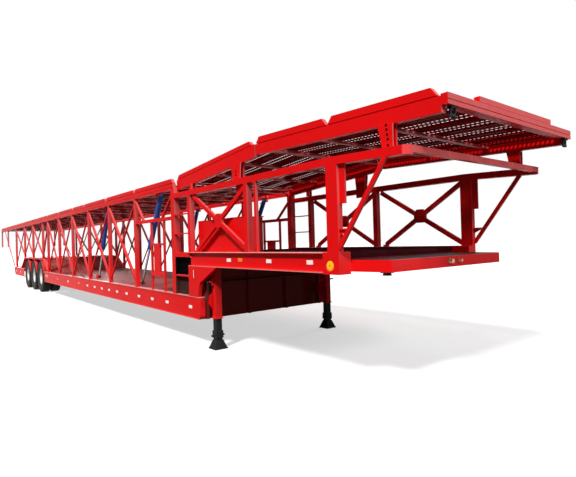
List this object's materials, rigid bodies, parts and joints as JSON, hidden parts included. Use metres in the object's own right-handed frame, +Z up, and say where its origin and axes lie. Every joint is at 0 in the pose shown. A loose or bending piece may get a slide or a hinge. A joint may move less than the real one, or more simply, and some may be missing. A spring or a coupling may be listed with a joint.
{
  "type": "car carrier semi-trailer",
  "caption": "Two-deck car carrier semi-trailer with a gooseneck, trussed sides, tilting upper-deck beds, landing legs and twin rear wheels.",
  "frame": {"origin": "on the ground, under the middle of the trailer's length and width", "axes": "+X forward to the gooseneck, +Y to the trailer's left, +Z up"},
  "size_m": [25.6, 2.5, 2.7856],
  "materials": {
    "black_paint": "satin black paint",
    "blue_paint": "glossy blue paint",
    "grey_floor": "worn dark red paint on steel sheet",
    "lamp_red": "red lamp plastic",
    "pin_steel": "machined steel",
    "plank_red": "worn red paint on perforated steel",
    "red_paint": "glossy enamel paint",
    "rim_silver": "silver enamel",
    "rod_chrome": "hard chrome plated, polished",
    "tyre_rubber": "matte black rubber"
  },
  "bodies": {
    "trailer": {"axles": "black_paint", "bed_hinges": "red_paint", "cabinet_body": "red_paint", "chassis_rails": "red_paint", "coupler_plate": "red_paint", "cylinder_brackets": "red_paint", "deck_supports": "red_paint", "front_bulkhead": "red_paint", "front_cross_rail": "red_paint", "gooseneck_cross_members": "red_paint", "gooseneck_deck": "red_paint", "gooseneck_frame_left": "red_paint", "gooseneck_frame_right": "red_paint", "gooseneck_nose": "red_paint", "gooseneck_side_beams": "red_paint", "kingpin": "pin_steel", "landing_leg_rams": "black_paint", "landing_leg_tubes": "red_paint", "leaf_springs": "black_paint", "lower_cross_members": "red_paint", "lower_deck_floor": "grey_floor", "lower_side_beams": "red_paint", "mudguards": "red_paint", "rear_bumper_beam": "red_paint", "rear_lamps": "lamp_red", "rear_overhang_stays": "red_paint", "side_truss_left": "red_paint", "side_truss_right": "red_paint", "step_boxes": "black_paint", "step_side_plates": "red_paint", "upper_deck_front": "red_paint", "upper_deck_planks": "plank_red", "upper_deck_ramp": "red_paint", "upper_deck_rear": "red_paint", "wheel_hump_floor": "grey_floor"},
    "lid": {"cabinet_lid": "red_paint"},
    "cylinder_barrel_middle_left": {"cylinder_barrel_middle_left": "blue_paint"},
    "cylinder_barrel_middle_right": {"cylinder_barrel_middle_right": "blue_paint"},
    "cylinder_barrel_rear_left": {"cylinder_barrel_rear_left": "blue_paint"},
    "cylinder_barrel_rear_right": {"cylinder_barrel_rear_right": "blue_paint"},
    "cylinder_rod_middle_left": {"cylinder_rod_middle_left": "rod_chrome"},
    "cylinder_rod_middle_right": {"cylinder_rod_middle_right": "rod_chrome"},
    "cylinder_rod_rear_left": {"cylinder_rod_rear_left": "rod_chrome"},
    "cylinder_rod_rear_right": {"cylinder_rod_rear_right": "rod_chrome"},
    "middle_bed": {"middle_bed_planks": "plank_red", "tilting_bed_middle": "red_paint"},
    "rear_bed": {"rear_bed_planks": "plank_red", "tilting_bed_rear": "red_paint"},
    "wheel_left_1": {"rims_left_1": "rim_silver", "tyres_left_1": "tyre_rubber"},
    "wheel_left_2": {"rims_left_2": "rim_silver", "tyres_left_2": "tyre_rubber"},
    "wheel_left_3": {"rims_left_3": "rim_silver", "tyres_left_3": "tyre_rubber"},
    "wheel_right_1": {"rims_right_1": "rim_silver", "tyres_right_1": "tyre_rubber"},
    "wheel_right_2": {"rims_right_2": "rim_silver", "tyres_right_2": "tyre_rubber"},
    "wheel_right_3": {"rims_right_3": "rim_silver", "tyres_right_3": "tyre_rubber"}
  },
  "joints": [
    {"name": "wheel_left_1_spin", "type": "hinge", "parent": "trailer", "child": "wheel_left_1", "pos_m": [-3.05, 0.955, 0.535], "axis": [0, 1, 0], "continuous": true},
    {"name": "wheel_left_2_spin", "type": "hinge", "parent": "trailer", "child": "wheel_left_2", "pos_m": [-4.3, 0.955, 0.535], "axis": [0, 1, 0], "continuous": true},
    {"name": "wheel_left_3_spin", "type": "hinge", "parent": "trailer", "child": "wheel_left_3", "pos_m": [-5.55, 0.955, 0.535], "axis": [0, 1, 0], "continuous": true},
    {"name": "wheel_right_1_spin", "type": "hinge", "parent": "trailer", "child": "wheel_right_1", "pos_m": [-3.05, -0.955, 0.535], "axis": [0, 1, 0], "continuous": true},
    {"name": "wheel_right_2_spin", "type": "hinge", "parent": "trailer", "child": "wheel_right_2", "pos_m": [-4.3, -0.955, 0.535], "axis": [0, 1, 0], "continuous": true},
    {"name": "wheel_right_3_spin", "type": "hinge", "parent": "trailer", "child": "wheel_right_3", "pos_m": [-5.55, -0.955, 0.535], "axis": [0, 1, 0], "continuous": true},
    {"name": "middle_bed_tilt", "type": "hinge", "parent": "trailer", "child": "middle_bed", "pos_m": [4.521, 0, 2.45985], "axis": [0, -1, 0], "range_deg": [0, 8]},
    {"name": "rear_bed_tilt", "type": "hinge", "parent": "trailer", "child": "rear_bed", "pos_m": [1.649, 0, 2.45985], "axis": [0, -1, 0], "range_deg": [0, 8]},
    {"name": "middle_barrel_left_swing", "type": "hinge", "parent": "middle_bed", "child": "cylinder_barrel_middle_left", "pos_m": [7.129, 1.11, 2.365], "axis": [0, 1, 0], "range_deg": [0, 2.58]},
    {"name": "middle_rod_left_slide", "type": "slide", "parent": "cylinder_barrel_middle_left", "child": "cylinder_rod_middle_left", "axis": [-0.5268, 0, -0.85], "range_m": [0, 0.31315]},
    {"name": "middle_barrel_right_swing", "type": "hinge", "parent": "middle_bed", "child": "cylinder_barrel_middle_right", "pos_m": [7.129, -1.11, 2.365], "axis": [0, 1, 0], "range_deg": [0, 2.58]},
    {"name": "middle_rod_right_slide", "type": "slide", "parent": "cylinder_barrel_middle_right", "child": "cylinder_rod_middle_right", "axis": [-0.5268, 0, -0.85], "range_m": [0, 0.31315]},
    {"name": "rear_barrel_left_swing", "type": "hinge", "parent": "rear_bed", "child": "cylinder_barrel_rear_left", "pos_m": [4.197, 1.11, 2.365], "axis": [0, 1, 0], "range_deg": [0, 3.23]},
    {"name": "rear_rod_left_slide", "type": "slide", "parent": "cylinder_barrel_rear_left", "child": "cylinder_rod_rear_left", "axis": [-0.4552, 0, -0.8904], "range_m": [0, 0.31925]},
    {"name": "rear_barrel_right_swing", "type": "hinge", "parent": "rear_bed", "child": "cylinder_barrel_rear_right", "pos_m": [4.197, -1.11, 2.365], "axis": [0, 1, 0], "range_deg": [0, 3.23]},
    {"name": "rear_rod_right_slide", "type": "slide", "parent": "cylinder_barrel_rear_right", "child": "cylinder_rod_rear_right", "axis": [-0.4552, 0, -0.8904], "range_m": [0, 0.31925]},
    {"name": "cabinet_lid_hinge", "type": "hinge", "parent": "trailer", "child": "lid", "pos_m": [9.1845, -0.839, 1.8493], "axis": [-1, 0, 0], "range_deg": [0, 110]}
  ],
  "couplings": [
    {"joint": "middle_barrel_left_swing", "follows": "middle_bed_tilt", "ratio": 0.32271},
    {"joint": "middle_rod_left_slide", "follows": "middle_bed_tilt", "m_per_rad": 2.2427},
    {"joint": "middle_barrel_right_swing", "follows": "middle_bed_tilt", "ratio": 0.32271},
    {"joint": "middle_rod_right_slide", "follows": "middle_bed_tilt", "m_per_rad": 2.2427},
    {"joint": "rear_barrel_left_swing", "follows": "rear_bed_tilt", "ratio": 0.40296},
    {"joint": "rear_rod_left_slide", "follows": "rear_bed_tilt", "m_per_rad": 2.2864},
    {"joint": "rear_barrel_right_swing", "follows": "rear_bed_tilt", "ratio": 0.40296},
    {"joint": "rear_rod_right_slide", "follows": "rear_bed_tilt", "m_per_rad": 2.2864}
  ]
}
